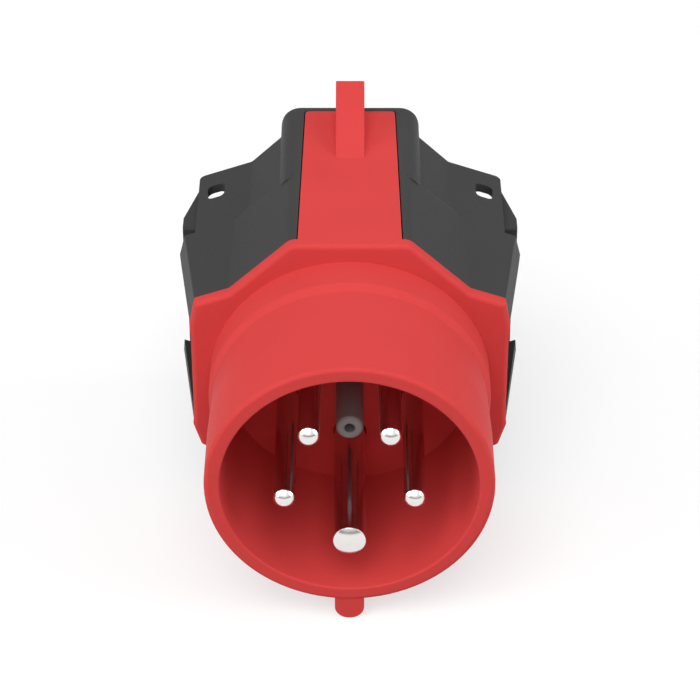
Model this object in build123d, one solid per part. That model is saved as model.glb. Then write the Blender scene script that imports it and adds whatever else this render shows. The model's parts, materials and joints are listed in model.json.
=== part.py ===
from build123d import *
from math import asin, cos, radians, sin
import os

# Industrial plug adapter: a 16 A five-pole plug at the front, a touch-safe mating mouth at the rear,
# and a sprung latch in each side.
# Millimetres. Origin at the centre of the shroud mouth, +Y along the plug axis to the rear, +Z up.

# Bodies that become one run this far into each other, and cuts this far past a face
overlap = 1.0

# Plug shroud
shroud_r = 28.0
shroud_wall = 3.0
shroud_band = 13.3
waist_drop = 0.5
waist_y = 26.6
collar_rise = 0.3
collar_y = 28.6
shroud_depth = 36.0
rim_round = 0.8
mouth_round = 0.4
waist_round = 1.0

# Key at 6 o'clock
key_width = 5.8
key_front = 0.3
key_round = 2.85
body_bottom = -32.8

# Flange, and the outline that it shares with the housing
flange_thickness = 2.5
flange_round = 1.0
body_top = 32.0
hump_flat = 11.7
hump_round = 2.8
slant_foot = 24.0
slant_foot_z = 20.5
wing_slope = 0.345
flange_edge = 31.1
flange_side = 32.15
chamfer_z = 12.3
lower_chamfer_z = 11.9
lower_inset = 0.5
lower_rise = 1.1
corner_round = 0.6
foot_round = 1.6

# Housing, with its lengths counted from the flange
shoulder_length = 24.7
shoulder_edge_flare = 3.2
shoulder_flare = 3.3
lip_draft = 0.22
lip_z = 9.2
lip_slope = 0.35
cheek_length = 4.1
cheek_depth = 2.0
hump_side = 14.6
rear_slant_top = 27.6
slant_top_round = 0.3
rear_hump_round = 4.2
rear_foot = 20.9
wing_side = 32.1
wing_corner_round = 1.2
wing_length = 22.05
tongue_overhang = 4.75
tongue_root = 4.0
tongue_underside = 24.6
tongue_corner_round = 1.0
wing_thickness = 1.85
wing_slot = (3.6, 5.0)
wing_slot_x = 28.3
wing_slot_inset = 7.8
wing_slot_round = 1.2

# Hollow of the housing
roof_inside = 27.0
floor_inside = -30.2
roof_half = 12.2
floor_half = 10.0
pocket_wall = 2.4
wall_corner_top = 17.3
wall_corner_bottom = -17.5
hollow_round = 1.0
partition_inset = 3.2
partition_thickness = 2.4

# Red strip and locking nose
strip_thickness = 2.5
strip_front_half = 10.3
strip_rear_half = 9.45
strip_inset = 1.4
strip_round = 0.9
strip_gap = 0.2
nose_width = 6.0
nose_length = 19.1
nose_top = 39.55
nose_crown = 0.25

# Contacts, on one circle at both ends
contact_circle = 13.32
phase_r = 2.15
earth_r = 3.2
phase_tip = 0.8
earth_tip = -0.4
phase_dome = 1.25
earth_dome = 0.9
stem_inset = 0.2
stem_relief = 0.25
pin_collar = 1.45
carrier_web = 3.5
collar_thickness = 3.0
tail_r = 1.5
tail_length = 6.0
washer_thickness = 0.8
socket_flange = 3.0
socket_wall = 1.05
socket_inset = 1.4
socket_bore_depth = 15.0
phase_socket_bore = 2.05
earth_socket_bore = 2.55
socket_slit = 0.5
slit_depth = 10.0
contact_gap = 0.06
thread_gap = 0.02
washer_gap = 0.15
washer_margin = 0.3
floor_hole_gap = 0.15

# Grey sleeve on the plug axis
sleeve_r = 2.75
sleeve_bore = 1.0
sleeve_tip = 19.2
sleeve_tail = 6.0
sleeve_flange_r = 4.2
sleeve_round = 0.7
sleeve_bore_round = 0.3

# Insulating blocks and seals
carrier_r = 19.5
seal_thickness = 2.0
seal_gap = 0.02
carrier_thickness = 9.5
block_nose_r = 18.0
block_reach = 16.6
block_chamfer = 0.6
mouth_r_extra = 0.35
block_gap = 0.15
face_seal_width = 2.3
face_seal_thickness = 1.8
face_seal_round = 0.6

# Screws
screw_x = 15.0
screw_z = 18.0
boss_r = 3.3
boss_length = 13.5
screw_r = 1.45
screw_hole_r = 1.6
screw_pilot_r = 1.5
screw_bite = 8.0
screw_head_r = 2.7
screw_head = 2.2
screw_socket_r = 1.4
screw_socket_depth = 1.3

# Latches, given for the right-hand side
pocket_depth = 8.1
pivot_inset = 2.3
pivot_setback = 5.5
pivot_r = 1.2
pivot_gap = 0.05
pivot_seat_gap = 0.01
pivot_recess = 0.6
pivot_chamfer = 0.2
pivot_top = 14.5
barrel_r = 2.35
barrel_gap = 0.455
arm_thickness = 1.5
arm_inset = 0.85
latch_gap = 0.35
pad_setback = 3.2
pad_proud = 0.8
pad_backing = 0.6
pad_round = 0.4
grip_grooves = 5
grip_pitch = 2.6
grip_width = 1.3
grip_depth = 0.6
tooth_setback = 5.5
tooth_flat = 3.6
tooth_height = 2.95
tooth_run_out = 0.5
tooth_round = 0.6
spring_setback = 11.6
spring_r = 2.2
spring_wire = 0.6
spring_turns = 3.5
spring_gap = 0.1
spring_boss_r = 1.7
spring_boss = 1.2

# Worked out from the sizes above, along the plug axis
flange_rear = shroud_depth + flange_thickness
shoulder_end = flange_rear + shoulder_length
cheek_end = shoulder_end + cheek_length
wing_end = shoulder_end + wing_length
tongue_end = wing_end + tongue_overhang
strip_end = tongue_end - strip_inset
nose_start = strip_end - nose_length
wing_slot_y = wing_end - wing_slot_inset
seal_end = flange_rear + seal_thickness
stem_start = shroud_depth - stem_inset
collar_seat = seal_end + carrier_web
collar_end = collar_seat + collar_thickness
carrier_end = seal_end + carrier_thickness
sleeve_end = carrier_end + sleeve_tail
partition_front = shoulder_end - partition_inset
partition_rear = partition_front + partition_thickness
block_end = partition_rear + block_reach
socket_end = block_end - socket_inset
boss_joint = flange_rear + boss_length
screw_tip = boss_joint - screw_bite
pivot_y = flange_rear + pivot_setback
pad_front = pivot_y + pad_setback
spring_y = pivot_y + spring_setback
arm_end = wing_end - arm_inset
tooth_front = shoulder_end + tooth_setback

# And across it
shroud_bore = shroud_r - shroud_wall
waist_r = shroud_r - waist_drop
collar_r = shroud_r + collar_rise
channel_floor = body_top - strip_thickness
shoulder_edge = flange_edge + shoulder_edge_flare
shoulder_side = flange_side + shoulder_flare
pocket_floor = wing_side - pocket_depth
wall_inside = pocket_floor - pocket_wall
arm_outer = wing_side
arm_inner = arm_outer - arm_thickness
pivot_x = arm_outer - pivot_inset
pad_face = arm_outer + pad_proud
pad_inner = arm_inner - pad_backing
tooth_reach = arm_outer + tooth_height

SCREWS = [(sx * screw_x, sz * screw_z) for sx in (-1, 1) for sz in (-1, 1)]
CONTACTS = {"pe": -90, "l1": 198, "l2": 126, "l3": 54, "n": -18}
PINS = {
    "pe": "earth_pin",
    "l1": "phase_pin_l1",
    "l2": "phase_pin_l2",
    "l3": "phase_pin_l3",
    "n": "neutral_pin",
}


def wing_z(x):
    """Height of the wing's top face at x."""
    return slant_foot_z - wing_slope * (x - slant_foot)


def lip_height(x):
    """Half height of the finger recess at x; it widens inwards."""
    return lip_z + lip_slope * (shoulder_side - x)


def pocket_height(x):
    """Half height of the latch pocket under the wings at x."""
    return wing_z(x) - wing_thickness * (1 + wing_slope ** 2) ** 0.5


def contact_place(key):
    """X and Z of a contact on the contact circle."""
    angle = radians(CONTACTS[key])
    return contact_circle * cos(angle), contact_circle * sin(angle)


def contact_size(phase, earth, key):
    """The earth contact is thicker than the others."""
    return earth if key == "pe" else phase


def rod(radius, start, end, at=(0.0, 0.0)):
    """Cylinder along Y from start to end, with its axis at (x, z)."""
    place = Location((at[0], start, at[1]), (-90, 0, 0))
    return place * Cylinder(radius, end - start, align=(Align.CENTER, Align.CENTER, Align.MIN))


def upright(radius, bottom, top, at):
    """Cylinder along Z from bottom to top, with its axis at (x, y)."""
    place = Pos(at[0], at[1], bottom)
    return place * Cylinder(radius, top - bottom, align=(Align.CENTER, Align.CENTER, Align.MIN))


def ring(outer, inner, start, end, at=(0.0, 0.0)):
    """Plain ring along Y."""
    return rod(outer, start, end, at) - rod(inner, start, end, at)


def outline(corners):
    """Closed face from corners (a, b, fillet radius)."""
    line = FilletPolyline(*[(c[0], c[1]) for c in corners], radius=[c[2] for c in corners], close=True)
    return make_face(line)


def section(y, corners):
    """Closed face across the plug axis at y, from corners (x, z, fillet radius)."""
    return Plane(origin=(0, y, 0), x_dir=(1, 0, 0), z_dir=(0, -1, 0)) * outline(corners)


def prism(corners, start, end):
    """A section carried along Y from start to end."""
    return extrude(section(start, corners), amount=end - start, dir=(0, 1, 0))


def slab(corners, bottom, top):
    """A plan outline of corners (x, y, fillet radius) carried up from bottom to top."""
    return extrude(Pos(0, 0, bottom) * outline(corners), amount=top - bottom)


def turned(corners, at=(0.0, 0.0)):
    """Solid of revolution about the Y axis, from corners (radius, y, fillet radius)."""
    return Pos(at[0], 0, at[1]) * revolve(outline(corners), Axis.Y)


def both_sides(right):
    """Whole outline from its right half, listed from top to bottom."""
    return right + [(-x, z, r) for x, z, r in reversed(right)]


def front_outline(edge, side):
    """Outline of the flange and of the front of the housing."""
    return both_sides([
        (hump_flat, body_top, hump_round),
        (slant_foot, slant_foot_z, foot_round),
        (edge, wing_z(edge), corner_round),
        (side, chamfer_z, corner_round),
        (side - lip_draft, lip_z, 0),
        (side - lip_draft, -lip_z, 0),
        (side, -lower_chamfer_z, corner_round),
        (edge - lower_inset, -(wing_z(edge) - lower_rise), corner_round),
        (slant_foot, -slant_foot_z, foot_round),
        (hump_flat, body_bottom, hump_round),
    ])


def rear_outline():
    """Outline of the rear of the housing: a round-cornered hump, and a slant set further in."""
    return both_sides([
        (hump_side, body_top, rear_hump_round),
        (hump_side, rear_slant_top, slant_top_round),
        (rear_foot, wing_z(rear_foot), foot_round),
        (wing_side + corner_round, wing_z(wing_side + corner_round), corner_round),
        (wing_side + corner_round, -wing_z(wing_side + corner_round), corner_round),
        (rear_foot, -wing_z(rear_foot), foot_round),
        (hump_side, -rear_slant_top, slant_top_round),
        (hump_side, body_bottom, rear_hump_round),
    ])


def hollow_outline():
    """Outline of the space inside the housing."""
    return both_sides([
        (roof_half, roof_inside, hollow_round),
        (wall_inside, wall_corner_top, hollow_round),
        (wall_inside, wall_corner_bottom, hollow_round),
        (floor_half, floor_inside, hollow_round),
    ])


def strip_plan(gap, front):
    """Plan of the red strip, or of its channel, which is wider by the gap."""
    return [
        (strip_front_half + gap, front, 0),
        (strip_rear_half + gap, strip_end + gap, strip_round),
        (-strip_rear_half - gap, strip_end + gap, strip_round),
        (-strip_front_half - gap, front, 0),
    ]


def shroud():
    """Tube with a straight band at the mouth, a slight waist and a collar at the flange."""
    return turned([
        (shroud_bore, 0, mouth_round),
        (shroud_r, 0, rim_round),
        (shroud_r, shroud_band, 0),
        (waist_r, waist_y, waist_round),
        (collar_r, collar_y, waist_round),
        (collar_r, shroud_depth + overlap, 0),
        (shroud_bore, shroud_depth + overlap, 0),
    ])


def key():
    """Key rib under the shroud, with a round lower edge."""
    half = key_width / 2
    return prism([
        (-half, -shroud_bore - overlap, 0),
        (-half, body_bottom, key_round),
        (half, body_bottom, key_round),
        (half, -shroud_bore - overlap, 0),
    ], key_front, shroud_depth + overlap)


def nose():
    """Ramp that rises to the rear; the lid of a socket catches behind it."""
    half = nose_width / 2
    top = nose_top - nose_crown
    side = make_face(Polyline((nose_start, body_top), (strip_end, top), (strip_end, channel_floor),
                              (nose_start, channel_floor), close=True))
    ramp = extrude(Plane(origin=(-half, 0, 0), x_dir=(0, 1, 0), z_dir=(1, 0, 0)) * side, amount=nose_width)
    upper = ramp.faces().sort_by(Axis.Z)[-1]
    return fillet(upper.edges().filter_by(lambda e: abs(e.tangent_at(0.5).X) < 0.1), nose_crown)


def front_shell():
    """Red moulding: shroud, flange, key, strip, nose and the four screw bosses."""
    flange = prism(front_outline(flange_edge, flange_side), shroud_depth, flange_rear)
    face = flange.faces().sort_by(Axis.Y)[0]
    shell = fillet(face.edges(), flange_round) + shroud() + key()
    shell += slab(strip_plan(0, shroud_depth + overlap), channel_floor, body_top) + nose()
    for place in SCREWS:
        shell += rod(boss_r, shroud_depth + overlap, boss_joint, place)
        shell -= rod(screw_pilot_r, screw_tip - overlap, boss_joint, place)
    for name in CONTACTS:
        hole = contact_size(phase_r, earth_r, name) + floor_hole_gap
        shell -= rod(hole, shroud_depth - overlap, flange_rear, contact_place(name))
    return shell - rod(sleeve_r + floor_hole_gap, shroud_depth - overlap, flange_rear)


def cheeks():
    """Behind the shoulders the slant steps in along a skewed ramp."""
    front = [
        (hump_flat, body_top, 0),
        (slant_foot, slant_foot_z, 0),
        (slant_foot, slant_foot_z - cheek_depth, 0),
        (hump_flat, slant_foot_z - cheek_depth, 0),
    ]
    rear = [
        (hump_side - overlap, rear_slant_top, 0),
        (rear_foot, wing_z(rear_foot), 0),
        (rear_foot, slant_foot_z - cheek_depth, 0),
        (hump_flat, slant_foot_z - cheek_depth, 0),
    ]
    cheek = loft([section(shoulder_end, front), section(cheek_end, rear)], ruled=True)
    upper = cheek + mirror(cheek, Plane.YZ)
    return upper + mirror(upper, Plane.XY)


def rear_tongue():
    """The hump runs on past the wings as a roof over the mouth."""
    right = [
        (hump_side, body_top, rear_hump_round),
        (hump_side, tongue_underside, corner_round),
    ]
    plan = [
        (hump_side, wing_end - tongue_root, 0),
        (hump_side, tongue_end, tongue_corner_round),
        (-hump_side, tongue_end, tongue_corner_round),
        (-hump_side, wing_end - tongue_root, 0),
    ]
    tongue = prism(both_sides(right), wing_end - tongue_root, tongue_end)
    return tongue & slab(plan, tongue_underside - overlap, body_top + overlap)


def housing_outside():
    """Solid outer form of the housing."""
    front = loft([
        section(flange_rear, front_outline(flange_edge, flange_side)),
        section(shoulder_end, front_outline(shoulder_edge, shoulder_side)),
    ], ruled=True)
    plan = [
        (wing_side, shoulder_end - 2 * overlap, 0),
        (wing_side, wing_end, wing_corner_round),
        (-wing_side, wing_end, wing_corner_round),
        (-wing_side, shoulder_end - 2 * overlap, 0),
    ]
    rear = prism(rear_outline(), shoulder_end - overlap, wing_end)
    rear &= slab(plan, body_bottom - overlap, body_top + overlap)
    return front + rear + cheeks() + rear_tongue()


def latch_pocket():
    """Space of the right-hand latch: the finger recess, and the pocket under the wing behind it."""
    reach = shoulder_side + overlap
    recess = [
        (pocket_floor, lip_height(pocket_floor), 0),
        (reach, lip_height(reach), 0),
        (reach, -lip_height(reach), 0),
        (pocket_floor, -lip_height(pocket_floor), 0),
    ]
    pocket = [
        (pocket_floor, pocket_height(pocket_floor), 0),
        (reach, pocket_height(reach), 0),
        (reach, -pocket_height(reach), 0),
        (pocket_floor, -pocket_height(pocket_floor), 0),
    ]
    space = prism(recess, flange_rear - overlap, shoulder_end + overlap)
    return space + prism(pocket, shoulder_end, wing_end + overlap)


def latch_side_cuts():
    """Everything that is cut from the right-hand side of the housing."""
    slot = Pos(wing_slot_x, wing_slot_y, 0) * extrude(
        RectangleRounded(wing_slot[0], wing_slot[1], wing_slot_round), amount=body_top)
    pivot = upright(pivot_r + pivot_seat_gap, body_bottom, pivot_top, (pivot_x, pivot_y))
    boss = Location((pocket_floor - overlap, spring_y, 0), (0, 90, 0)) * Cylinder(
        spring_boss_r, spring_boss + overlap, align=(Align.CENTER, Align.CENTER, Align.MIN))
    return latch_pocket() - boss + slot + pivot


def rear_housing():
    """Black moulding: a hollow body with a partition, two latch pockets and a channel for the strip."""
    body = housing_outside()
    body -= prism(hollow_outline(), flange_rear - overlap, partition_front)
    body -= prism(hollow_outline(), partition_rear, tongue_end + overlap)
    for place in SCREWS:
        body += rod(boss_r, boss_joint, partition_front + overlap, place)
        body -= rod(screw_hole_r, boss_joint, partition_rear, place)
    body -= rod(block_nose_r + block_gap, partition_front - overlap, partition_rear + overlap)
    body -= slab(strip_plan(strip_gap, flange_rear - overlap), channel_floor - strip_gap, body_top + overlap)
    cuts = latch_side_cuts()
    return body - cuts - mirror(cuts, Plane.YZ)


def dome_arc(radius, tip, height):
    """Arc of a low dome from its rim at the radius to its crown on the axis."""
    curve = (radius ** 2 + height ** 2) / (2 * height)
    half_angle = asin(radius / curve) / 2
    middle = (curve * sin(half_angle), tip + curve * (1 - cos(half_angle)))
    return ThreePointArc((radius, tip + height), middle, (0, tip))


def contact_pin(name):
    """Turned pin: domed tip, shank, thinner stem past the shroud floor, collar and threaded tail."""
    radius = contact_size(phase_r, earth_r, name)
    tip = contact_size(phase_tip, earth_tip, name)
    dome = contact_size(phase_dome, earth_dome, name)
    collar = radius + pin_collar
    stem = radius - stem_relief
    tail_end = collar_end + tail_length
    profile = Polyline((0, tip), (0, tail_end), (tail_r, tail_end), (tail_r, collar_end),
                       (collar, collar_end), (collar, collar_seat), (stem, collar_seat),
                       (stem, stem_start), (radius, stem_start), (radius, tip + dome))
    half = make_face([*profile.edges(), *dome_arc(radius, tip, dome).edges()])
    x, z = contact_place(name)
    return Pos(x, 0, z) * revolve(half, Axis.Y)


def socket_radius(name):
    """Outer radius of a rear contact sleeve."""
    return contact_size(phase_socket_bore, earth_socket_bore, name) + socket_wall


def rear_socket(name):
    """Turned sleeve with a threaded foot, a seating flange and a slotted, springy mouth."""
    start = collar_end + washer_thickness
    bore = contact_size(phase_socket_bore, earth_socket_bore, name)
    place = contact_place(name)
    body = rod(socket_radius(name), start, socket_end, place)
    body += rod(contact_size(phase_r, earth_r, name) + pin_collar, start, carrier_end, place)
    body -= rod(tail_r + thread_gap, start, collar_end + tail_length + overlap, place)
    body -= rod(bore, socket_end - socket_bore_depth, socket_end, place)
    width = 4 * socket_radius(name)
    slit = Box(width, slit_depth, socket_slit, align=(Align.CENTER, Align.MAX, Align.CENTER))
    return body - Pos(place[0], socket_end, place[1]) * slit


def contact_washers():
    """One lock washer between each pin collar and its sleeve."""
    top = collar_end + washer_thickness
    rings = []
    for name in CONTACTS:
        outer = contact_size(phase_r, earth_r, name) + pin_collar - washer_margin
        rings += ring(outer, tail_r + washer_gap, collar_end, top, contact_place(name)).solids()
    return Compound(children=rings)


def centre_sleeve():
    """Grey tube on the plug axis, held by a flange in the front carrier."""
    return turned([
        (sleeve_bore, sleeve_tip, sleeve_bore_round),
        (sleeve_r, sleeve_tip, sleeve_round),
        (sleeve_r, carrier_end - socket_flange, 0),
        (sleeve_flange_r, carrier_end - socket_flange, 0),
        (sleeve_flange_r, carrier_end, 0),
        (sleeve_r, carrier_end, 0),
        (sleeve_r, sleeve_end, 0),
        (sleeve_bore, sleeve_end, 0),
    ])


def pin_seal():
    """Rubber disc between the shroud floor and the front carrier."""
    disc = rod(carrier_r, flange_rear, seal_end)
    for name in CONTACTS:
        hole = contact_size(phase_r, earth_r, name) - stem_relief + seal_gap
        disc -= rod(hole, flange_rear, seal_end, contact_place(name))
    return disc - rod(sleeve_r + seal_gap, flange_rear, seal_end)


def front_contact_carrier():
    """Insulating disc with a counterbored seat for each pin."""
    disc = rod(carrier_r, seal_end, carrier_end)
    for name in CONTACTS:
        radius = contact_size(phase_r, earth_r, name)
        disc -= rod(radius - stem_relief + contact_gap, seal_end, collar_seat, contact_place(name))
        disc -= rod(radius + pin_collar + contact_gap, collar_seat, carrier_end, contact_place(name))
    disc -= rod(sleeve_r + contact_gap, seal_end, carrier_end)
    return disc - rod(sleeve_flange_r + contact_gap, carrier_end - socket_flange, carrier_end)


def rear_contact_block():
    """Insulating block whose nose carries the sleeves into the mouth, each behind a touch-safe lip."""
    block = rod(carrier_r, carrier_end, partition_front) + rod(block_nose_r, carrier_end, block_end)
    nose_edge = block.faces().sort_by(Axis.Y)[-1].edges()
    block = chamfer(nose_edge, block_chamfer)
    for name in CONTACTS:
        place = contact_place(name)
        bore = contact_size(phase_socket_bore, earth_socket_bore, name)
        block -= rod(socket_radius(name) + contact_gap, carrier_end, socket_end, place)
        block -= rod(bore + mouth_r_extra, socket_end, block_end, place)
    return block - rod(sleeve_r + contact_gap, carrier_end, sleeve_end)


def rear_face_seal():
    """Rubber ring on the partition, round the nose of the contact block."""
    inner = block_nose_r + block_gap
    return turned([
        (inner, partition_rear, 0),
        (inner + face_seal_width, partition_rear, 0),
        (inner + face_seal_width, partition_rear + face_seal_thickness, face_seal_round),
        (inner, partition_rear + face_seal_thickness, face_seal_round),
    ])


def housing_screws():
    """Four socket-head screws, put in from the mouth."""
    screws = []
    for place in SCREWS:
        screw = rod(screw_r, screw_tip, partition_rear, place)
        screw += rod(screw_head_r, partition_rear, partition_rear + screw_head, place)
        socket = Location((place[0], partition_rear + screw_head, place[1]), (90, 0, 0)) * extrude(
            RegularPolygon(screw_socket_r, 6), amount=screw_socket_depth)
        screws += (screw - socket).solids()
    return Compound(children=screws)


def barrel_half():
    """Half height of the latch barrel, which turns between the lips of the recess."""
    return lip_height(pivot_x + barrel_r) - barrel_gap


def latch_arm():
    """Plate of the latch from its pivot to its rear end, behind the recess and under the wing."""
    half = pocket_height(arm_outer) - latch_gap
    narrow = Pos(0, 0, -barrel_half()) * extrude(outline([
        (arm_inner, pivot_y, 0),
        (arm_outer, pivot_y, 0),
        (arm_outer, shoulder_end + overlap, 0),
        (arm_inner, shoulder_end + overlap, 0),
    ]), amount=2 * barrel_half())
    wide = slab([
        (arm_inner, shoulder_end + latch_gap, 0),
        (arm_outer, shoulder_end + latch_gap, 0),
        (arm_outer, arm_end, 0),
        (arm_inner, arm_end, 0),
    ], -half, half)
    return narrow + wide


def latch_tooth():
    """Wedge with a steep front face and a long lead-in towards the rear."""
    half = pocket_height(arm_outer) - latch_gap
    lead_end = arm_end - tooth_run_out
    tooth = slab([
        (arm_inner, tooth_front, 0),
        (tooth_reach, tooth_front, 0),
        (tooth_reach, tooth_front + tooth_flat, 0),
        (arm_outer, lead_end, 0),
        (arm_inner, lead_end, 0),
    ], -half, half)
    front = tooth.faces().sort_by(Axis.Y)[0]
    return fillet(front.edges().filter_by(Axis.X), tooth_round)


def latch_pad():
    """Finger pad in the recess, with upright grip grooves and a boss for the spring."""
    top = lip_height(pad_face) - latch_gap
    root = lip_height(pad_inner) - latch_gap
    end = shoulder_end - latch_gap
    pad = prism([
        (pad_inner, root, 0),
        (pad_face, top, pad_round),
        (pad_face, -top, pad_round),
        (pad_inner, -root, 0),
    ], pad_front, end)
    middle = (pad_front + end) / 2
    for step in range(grip_grooves):
        y = middle + (step - (grip_grooves - 1) / 2) * grip_pitch
        pad -= Pos(pad_face, y, 0) * Box(2 * grip_depth, grip_width, 2 * root)
    boss = Location((pad_inner - spring_boss, spring_y, 0), (0, 90, 0)) * Cylinder(
        spring_boss_r, spring_boss + overlap, align=(Align.CENTER, Align.CENTER, Align.MIN))
    return pad + boss


def right_latch():
    """Latch lever: barrel on the pivot pin, finger pad, arm and tooth."""
    lever = upright(barrel_r, -barrel_half(), barrel_half(), (pivot_x, pivot_y))
    lever += latch_arm() + latch_tooth() + latch_pad()
    return lever - upright(pivot_r + pivot_gap, -barrel_half(), barrel_half(), (pivot_x, pivot_y))


def right_pivot_pin():
    """Steel pin, put in from below and stopped by the blind end of its upper hole."""
    pin = upright(pivot_r, -wing_z(pivot_x) + pivot_recess, pivot_top, (pivot_x, pivot_y))
    return chamfer(pin.edges().filter_by(GeomType.CIRCLE), pivot_chamfer)


def right_latch_spring():
    """Coil spring between the pocket floor and the finger pad."""
    length = pad_inner - pocket_floor - 2 * spring_gap - spring_wire
    path = Helix(pitch=length / spring_turns, height=length, radius=spring_r)
    wire = Plane(origin=path @ 0, z_dir=path % 0) * Circle(spring_wire / 2)
    coil = sweep(wire, path=path, is_frenet=True)
    return Location((pocket_floor + spring_gap + spring_wire / 2, spring_y, 0), (0, 90, 0)) * coil


def all_parts():
    """Every piece of the adapter by its node name."""
    parts = {
        "front_shell": front_shell(),
        "rear_housing": rear_housing(),
        "pin_seal": pin_seal(),
        "front_contact_carrier": front_contact_carrier(),
        "rear_contact_block": rear_contact_block(),
        "centre_sleeve": centre_sleeve(),
        "contact_washers": contact_washers(),
        "rear_face_seal": rear_face_seal(),
        "housing_screws": housing_screws(),
    }
    for name in CONTACTS:
        parts[PINS[name]] = contact_pin(name)
        parts["rear_socket_" + name] = rear_socket(name)
    pieces = {"latch": right_latch(), "pivot_pin": right_pivot_pin(), "latch_spring": right_latch_spring()}
    for piece, solid in pieces.items():
        parts["right_" + piece] = solid
        parts["left_" + piece] = mirror(solid, Plane.YZ)
    return parts


os.makedirs("parts", exist_ok=True)
for node, solid in all_parts().items():
    export_step(solid, "parts/" + node + ".step")
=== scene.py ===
import json
from math import radians

import bmesh
import bpy
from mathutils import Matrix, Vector

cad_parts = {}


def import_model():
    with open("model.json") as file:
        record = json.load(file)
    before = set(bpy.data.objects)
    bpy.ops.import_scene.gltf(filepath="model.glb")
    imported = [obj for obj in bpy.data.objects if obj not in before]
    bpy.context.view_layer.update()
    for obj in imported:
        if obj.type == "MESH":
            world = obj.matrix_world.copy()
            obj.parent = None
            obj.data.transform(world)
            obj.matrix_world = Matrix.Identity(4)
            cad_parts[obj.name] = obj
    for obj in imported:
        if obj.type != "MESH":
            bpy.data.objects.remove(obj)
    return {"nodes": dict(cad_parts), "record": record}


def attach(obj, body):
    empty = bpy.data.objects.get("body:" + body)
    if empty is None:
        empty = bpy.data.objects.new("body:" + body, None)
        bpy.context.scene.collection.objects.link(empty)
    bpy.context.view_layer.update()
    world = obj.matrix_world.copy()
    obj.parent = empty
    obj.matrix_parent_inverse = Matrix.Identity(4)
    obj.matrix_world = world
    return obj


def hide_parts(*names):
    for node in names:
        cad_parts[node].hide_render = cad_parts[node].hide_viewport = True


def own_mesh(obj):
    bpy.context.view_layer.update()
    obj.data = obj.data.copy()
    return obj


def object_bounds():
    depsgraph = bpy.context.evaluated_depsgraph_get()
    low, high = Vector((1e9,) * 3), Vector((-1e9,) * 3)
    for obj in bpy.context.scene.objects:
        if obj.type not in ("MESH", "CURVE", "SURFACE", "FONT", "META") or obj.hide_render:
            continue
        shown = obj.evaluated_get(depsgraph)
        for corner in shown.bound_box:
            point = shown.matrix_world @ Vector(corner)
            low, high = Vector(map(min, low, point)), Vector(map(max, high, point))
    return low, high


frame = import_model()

cad_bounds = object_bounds()

MM = 0.001
WHITE = (1.0, 1.0, 1.0, 1.0)

# Camera in metres and degrees, fitted to the rim, pins, flange and rear edges
CAMERA_AT = (0.00070, -0.40286, 0.31566)
CAMERA_TILT = 54.89
CAMERA_YAW = 0.086
CAMERA_LENS = 137.17
SENSOR_WIDTH = 36.0
CLIP_NEAR = 0.01
CLIP_FAR = 50.0

# Square lamps, all aimed at one point: place and edge in metres, power in watts
LAMP_TARGET = (0.0, 0.04, 0.0)
LAMPS = {
    "key": ((-0.15, -0.72, 1.03), 1.0, 11.5),
    "back": ((0.20, 1.1, 0.95), 1.1, 2.5),
    "left": ((-1.12, -0.34, 0.55), 0.9, 8.4),
    "right": ((1.15, -0.12, 0.52), 0.9, 8.6),
}

# Surroundings: strength on the object, and strength in a gloss from the horizon up to full
WORLD_LIGHT = 0.30
HORIZON_LIGHT = 0.30
HORIZON_LOW = 0.10
HORIZON_HIGH = 0.32

# Floor: lifted in a view or a gloss, and in a view fading to white between two distances in metres
FLOOR_Z = cad_bounds[0][2]
FLOOR_HALF = 6.0
FLOOR_GREY = 0.42
FLOOR_ROUGH = 0.9
FLOOR_LIFT = 0.57
FADE_START = 0.35
FADE_END = 1.20

# Latch tooth in the part's own sizes; it ends above the middle of its arm
ARM_OUTER = 32.1 * MM
TOOTH_FRONT = 68.7 * MM
TOOTH_END = 83.9 * MM
TOOTH_BOTTOM = 5.0 * MM
TOOTH_CLEAR = 5.0 * MM
LATCH_HALF = 20.0 * MM
WELD = 0.0001 * MM
SLIVER = 0.002 * MM
CREASE_ANGLE = 12.0
FLAT_WEIGHT = 100

# Linear colours
RED = (0.60, 0.056, 0.054)
BLACK = (0.043, 0.043, 0.0435)
INSULATOR = (0.020, 0.020, 0.021)
GREY = (0.20, 0.19, 0.19)
RUBBER = (0.012, 0.012, 0.012)
NICKEL = (0.78, 0.765, 0.75)
BRASS = (0.80, 0.62, 0.34)
STEEL = (0.60, 0.60, 0.61)

# Plastics: colour, roughness, grain per metre, depth of the grain and specular level
PLASTICS = {
    "red_plastic": (RED, 0.48, 2600.0, 0.006 * MM, 0.015),
    "black_plastic": (BLACK, 0.50, 2200.0, 0.02 * MM, 0.06),
    "insulator": (INSULATOR, 0.45, 3000.0, 0.006 * MM, 0.5),
    "grey_plastic": (GREY, 0.40, 2600.0, 0.006 * MM, 0.5),
    "rubber": (RUBBER, 0.70, 1800.0, 0.02 * MM, 0.5),
}

# Metals: colour, roughness, marks per metre and depth of the marks
METALS = {
    "nickel_plated": (NICKEL, 0.17, 900.0, 0.002 * MM),
    "brass": (BRASS, 0.25, 1500.0, 0.004 * MM),
    "steel": (STEEL, 0.30, 1500.0, 0.004 * MM),
}

# Wear: darkest and lightest tint, and how far the roughness strays
CLOUD_TINT = (0.94, 1.06)
CLOUD_SCALE = 60.0
GLOSS_SPREAD = 0.05
MARK_TINT = (0.93, 1.04)
MARK_GLOSS = (0.8, 1.25)
EDGE_RADIUS = 0.18 * MM

# Sockets of a Mix node: its two numbers, its two colours and the mixed colour
MIX_NUMBERS = (2, 3)
MIX_COLOURS = (6, 7)
MIXED_COLOUR = 2


def linked(name, data):
    """New object in the scene."""
    piece = bpy.data.objects.new(name, data)
    bpy.context.scene.collection.objects.link(piece)
    return piece


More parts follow.
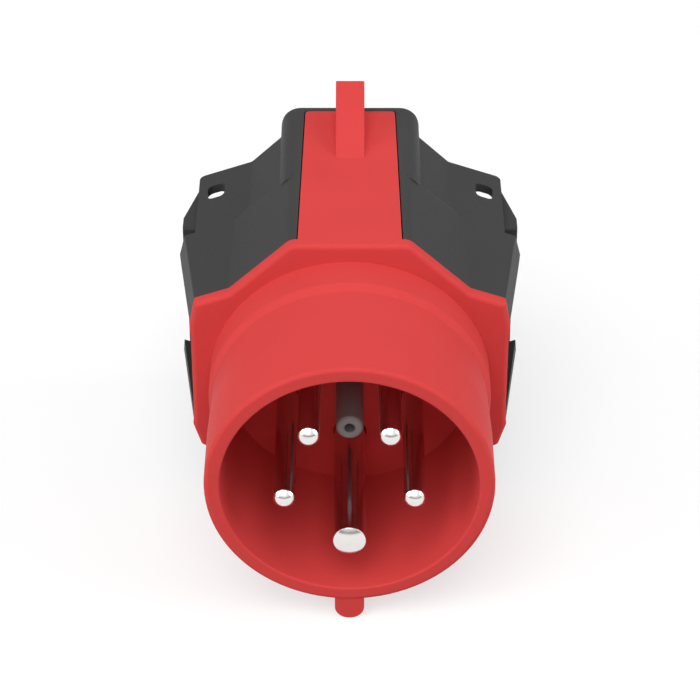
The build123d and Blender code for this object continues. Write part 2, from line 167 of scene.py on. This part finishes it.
class Nodes:
    """Short hand for building a material's node tree."""

    def __init__(self, name):
        self.material = bpy.data.materials.new(name)
        self.material.use_nodes = True
        self.tree = self.material.node_tree
        self.shader = self.tree.nodes["Principled BSDF"]
        self.coords = self.add("ShaderNodeTexCoord").outputs["Object"]

    def add(self, kind, **values):
        """New node with its settings."""
        node = self.tree.nodes.new(kind)
        for key, value in values.items():
            setattr(node, key, value)
        return node

    def link(self, start, end):
        """Join an output to an input."""
        self.tree.links.new(start, end)

    def math(self, operation, first, second):
        """Combine an output with another output or a number."""
        node = self.add("ShaderNodeMath", operation=operation)
        self.link(first, node.inputs[0])
        if isinstance(second, float):
            node.inputs[1].default_value = second
        else:
            self.link(second, node.inputs[1])
        return node.outputs[0]

    def noise(self, scale, detail, rough=0.5):
        """Noise with its scale in features per metre."""
        node = self.add("ShaderNodeTexNoise")
        node.inputs["Scale"].default_value = scale
        node.inputs["Detail"].default_value = detail
        node.inputs["Roughness"].default_value = rough
        self.link(self.coords, node.inputs["Vector"])
        return node.outputs["Fac"]

    def spread(self, value, low, high, start=0.3, end=0.7):
        """Map a factor to a range of values."""
        node = self.add("ShaderNodeMapRange")
        node.inputs["From Min"].default_value = start
        node.inputs["From Max"].default_value = end
        node.inputs["To Min"].default_value = low
        node.inputs["To Max"].default_value = high
        self.link(value, node.inputs["Value"])
        return node.outputs["Result"]

    def mix(self, factor, colours):
        """Mix two colours by a factor."""
        node = self.add("ShaderNodeMix", data_type="RGBA")
        self.link(factor, node.inputs["Factor"])
        for socket, colour in zip(MIX_COLOURS, colours):
            node.inputs[socket].default_value = (*colour, 1.0)
        return node.outputs[MIXED_COLOUR]

    def bump(self, height, distance):
        """Bump over softly rounded edges."""
        edge = self.add("ShaderNodeBevel", samples=4)
        edge.inputs["Radius"].default_value = EDGE_RADIUS
        node = self.add("ShaderNodeBump")
        node.inputs["Strength"].default_value = 1.0
        node.inputs["Distance"].default_value = distance
        self.link(height, node.inputs["Height"])
        self.link(edge.outputs["Normal"], node.inputs["Normal"])
        self.link(node.outputs["Normal"], self.shader.inputs["Normal"])


def tints(colour, factors):
    """A colour made darker and lighter."""
    return [tuple(min(1.0, channel * factor) for channel in colour) for factor in factors]


def plastic(name, colour, rough, grain_scale, grain_depth, level):
    """Moulded plastic: faint cloudiness, uneven gloss and a fine grain."""
    m = Nodes(name)
    cloud = m.noise(CLOUD_SCALE, detail=4.0)
    m.link(m.mix(cloud, tints(colour, CLOUD_TINT)), m.shader.inputs["Base Color"])
    grain = m.noise(grain_scale, detail=2.0, rough=0.6)
    m.link(m.spread(grain, rough - GLOSS_SPREAD, rough + GLOSS_SPREAD), m.shader.inputs["Roughness"])
    m.shader.inputs["Specular IOR Level"].default_value = level
    m.bump(grain, grain_depth)
    return m.material


def metal(name, colour, rough, mark_scale, mark_depth):
    """Turned or drawn metal with faint marks."""
    m = Nodes(name)
    marks = m.noise(mark_scale, detail=4.0, rough=0.6)
    m.link(m.mix(marks, tints(colour, MARK_TINT)), m.shader.inputs["Base Color"])
    m.link(m.spread(marks, rough * MARK_GLOSS[0], rough * MARK_GLOSS[1]), m.shader.inputs["Roughness"])
    m.shader.inputs["Metallic"].default_value = 1.0
    m.bump(marks, mark_depth)
    return m.material


def floor_material():
    """Pale floor that renders white where nothing shades it, and fades to white far out."""
    m = Nodes("studio_floor")
    m.shader.inputs["Base Color"].default_value = (FLOOR_GREY, FLOOR_GREY, FLOOR_GREY, 1.0)
    m.shader.inputs["Roughness"].default_value = FLOOR_ROUGH
    m.shader.inputs["Specular IOR Level"].default_value = 0.0
    path = m.add("ShaderNodeLightPath")
    seen = m.math("MAXIMUM", path.outputs["Is Camera Ray"], path.outputs["Is Glossy Ray"])
    near = m.math("MULTIPLY", seen, FLOOR_LIFT)
    reach = m.add("ShaderNodeVectorMath", operation="LENGTH")
    m.link(m.coords, reach.inputs[0])
    fade = m.spread(reach.outputs["Value"], 0.0, 1.0 - FLOOR_LIFT, FADE_START, FADE_END)
    far = m.math("MULTIPLY", fade, path.outputs["Is Camera Ray"])
    m.shader.inputs["Emission Color"].default_value = WHITE
    m.link(m.math("ADD", near, far), m.shader.inputs["Emission Strength"])
    return m.material


def box_mesh(name, low, high):
    """Closed box between two corners."""
    mesh = bpy.data.meshes.new(name)
    form = bmesh.new()
    bmesh.ops.create_cube(form, size=1.0)
    for vert in form.verts:
        vert.co = [low[i] if vert.co[i] < 0 else high[i] for i in range(3)]
    bmesh.ops.recalc_face_normals(form, faces=form.faces)
    form.to_mesh(mesh)
    form.free()
    return mesh


def welded(source, name):
    """Copy of a mesh with its faces joined along their edges."""
    mesh = bpy.data.meshes.new(name)
    form = bmesh.new()
    form.from_mesh(source)
    bmesh.ops.remove_doubles(form, verts=form.verts, dist=WELD)
    form.to_mesh(mesh)
    form.free()
    return mesh


def clear_slivers(mesh):
    """Take out the slivers that a cut leaves, and split all faces into triangles."""
    form = bmesh.new()
    form.from_mesh(mesh)
    bmesh.ops.remove_doubles(form, verts=form.verts, dist=SLIVER)
    bmesh.ops.dissolve_degenerate(form, edges=form.edges, dist=SLIVER)
    bmesh.ops.triangulate(form, faces=form.faces)
    form.to_mesh(mesh)
    form.free()


def cut_box(piece, low, high):
    """Take a box away from a piece."""
    cutter = linked(piece.name + "_cutter", box_mesh(piece.name + "_cutter", low, high))
    cut = piece.modifiers.new("cut", "BOOLEAN")
    cut.operation = "DIFFERENCE"
    cut.solver = "EXACT"
    cut.object = cutter
    state = bpy.context.evaluated_depsgraph_get()
    piece.data = bpy.data.meshes.new_from_object(piece.evaluated_get(state))
    piece.modifiers.clear()
    bpy.data.objects.remove(cutter)
    clear_slivers(piece.data)


def shade_flats(piece):
    """Smooth shading that keeps flat faces flat."""
    for face in piece.data.polygons:
        face.use_smooth = True
    piece.data.set_sharp_from_angle(angle=radians(CREASE_ANGLE))
    flats = piece.modifiers.new("flats", "WEIGHTED_NORMAL")
    flats.keep_sharp = True
    flats.weight = FLAT_WEIGHT


def latch_lever(node, side, material):
    """Latch whose tooth is at the upper half of its arm only, so that the recess below shows the floor."""
    piece = linked(node + "_lever", welded(frame["nodes"][node].data, node + "_lever"))
    across = sorted((side * ARM_OUTER, side * (ARM_OUTER + TOOTH_CLEAR)))
    low = (across[0], TOOTH_FRONT - TOOTH_CLEAR, -LATCH_HALF)
    high = (across[1], TOOTH_END + TOOTH_CLEAR, TOOTH_BOTTOM)
    cut_box(piece, low, high)
    piece.data.materials.clear()
    piece.data.materials.append(material)
    for face in piece.data.polygons:
        face.material_index = 0
    shade_flats(piece)
    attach(piece, node)
    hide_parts(node)


def latch_spring(node, material):
    """The latch's spring, a rigid copy of its CAD mesh held by the plug body."""
    piece = linked(node + "_coil", frame["nodes"][node].data.copy())
    piece.data.materials.clear()
    piece.data.materials.append(material)
    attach(piece, "plug_body")
    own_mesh(piece)
    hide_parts(node)


def dress():
    """Give every CAD node its finished material, and the latches their short tooth and springs."""
    slots = {name: plastic(name, *values) for name, values in PLASTICS.items()}
    slots.update((name, metal(name, *values)) for name, values in METALS.items())
    places = {row["node"]: row["material_slot"] for row in frame["record"]["subparts"]}
    for name, piece in frame["nodes"].items():
        piece.data.materials.clear()
        piece.data.materials.append(slots[places[name]])
    for name, side in (("left", -1), ("right", 1)):
        latch_lever(name + "_latch", side, slots["black_plastic"])
        latch_spring(name + "_latch_spring", slots["steel"])


def floor():
    """Flat studio floor under the object."""
    half = FLOOR_HALF
    mesh = bpy.data.meshes.new("studio_floor")
    corners = [(x, y, FLOOR_Z) for x, y in ((-half, -half), (half, -half), (half, half), (-half, half))]
    mesh.from_pydata(corners, [], [(0, 1, 2, 3)])
    plane = linked("studio_floor", mesh)
    mesh.materials.append(floor_material())


def lamp(name, place, size, power):
    """Square area lamp aimed at the part."""
    light = bpy.data.lights.new(name, "AREA")
    light.shape = "SQUARE"
    light.size = size
    light.energy = power
    holder = linked(name, light)
    holder.location = place
    aim = Vector(LAMP_TARGET) - Vector(place)
    holder.rotation_euler = aim.to_track_quat("-Z", "Y").to_euler()


def world():
    """Even pale surroundings, white to the camera and paler towards the top in a gloss."""
    sky = bpy.data.worlds.new("studio")
    bpy.context.scene.world = sky
    sky.use_nodes = True
    tree = sky.node_tree
    background = tree.nodes["Background"]
    background.inputs["Color"].default_value = WHITE
    path = tree.nodes.new("ShaderNodeLightPath")
    coords = tree.nodes.new("ShaderNodeTexCoord")
    split = tree.nodes.new("ShaderNodeSeparateXYZ")
    tree.links.new(coords.outputs["Generated"], split.inputs[0])
    height = tree.nodes.new("ShaderNodeMapRange")
    height.inputs["From Min"].default_value = HORIZON_LOW
    height.inputs["From Max"].default_value = HORIZON_HIGH
    height.inputs["To Min"].default_value = HORIZON_LIGHT
    height.inputs["To Max"].default_value = 1.0
    tree.links.new(split.outputs["Z"], height.inputs["Value"])
    first, second = MIX_NUMBERS
    gloss = tree.nodes.new("ShaderNodeMix")
    gloss.inputs[first].default_value = WORLD_LIGHT
    tree.links.new(path.outputs["Is Glossy Ray"], gloss.inputs["Factor"])
    tree.links.new(height.outputs["Result"], gloss.inputs[second])
    strength = tree.nodes.new("ShaderNodeMix")
    strength.inputs[second].default_value = 1.0
    tree.links.new(path.outputs["Is Camera Ray"], strength.inputs["Factor"])
    tree.links.new(gloss.outputs[0], strength.inputs[first])
    tree.links.new(strength.outputs[0], background.inputs["Strength"])


def camera():
    """Camera at the photograph's viewing angle."""
    data = bpy.data.cameras.new("camera")
    data.lens = CAMERA_LENS
    data.sensor_width = SENSOR_WIDTH
    data.sensor_fit = "HORIZONTAL"
    data.clip_start = CLIP_NEAR
    data.clip_end = CLIP_FAR
    holder = linked("camera", data)
    holder.location = CAMERA_AT
    holder.rotation_euler = (radians(CAMERA_TILT), 0.0, radians(CAMERA_YAW))
    bpy.context.scene.camera = holder


dress()
floor()
for name, values in LAMPS.items():
    lamp(name, *values)
world()
camera()
bpy.context.scene.view_settings.view_transform = "Standard"
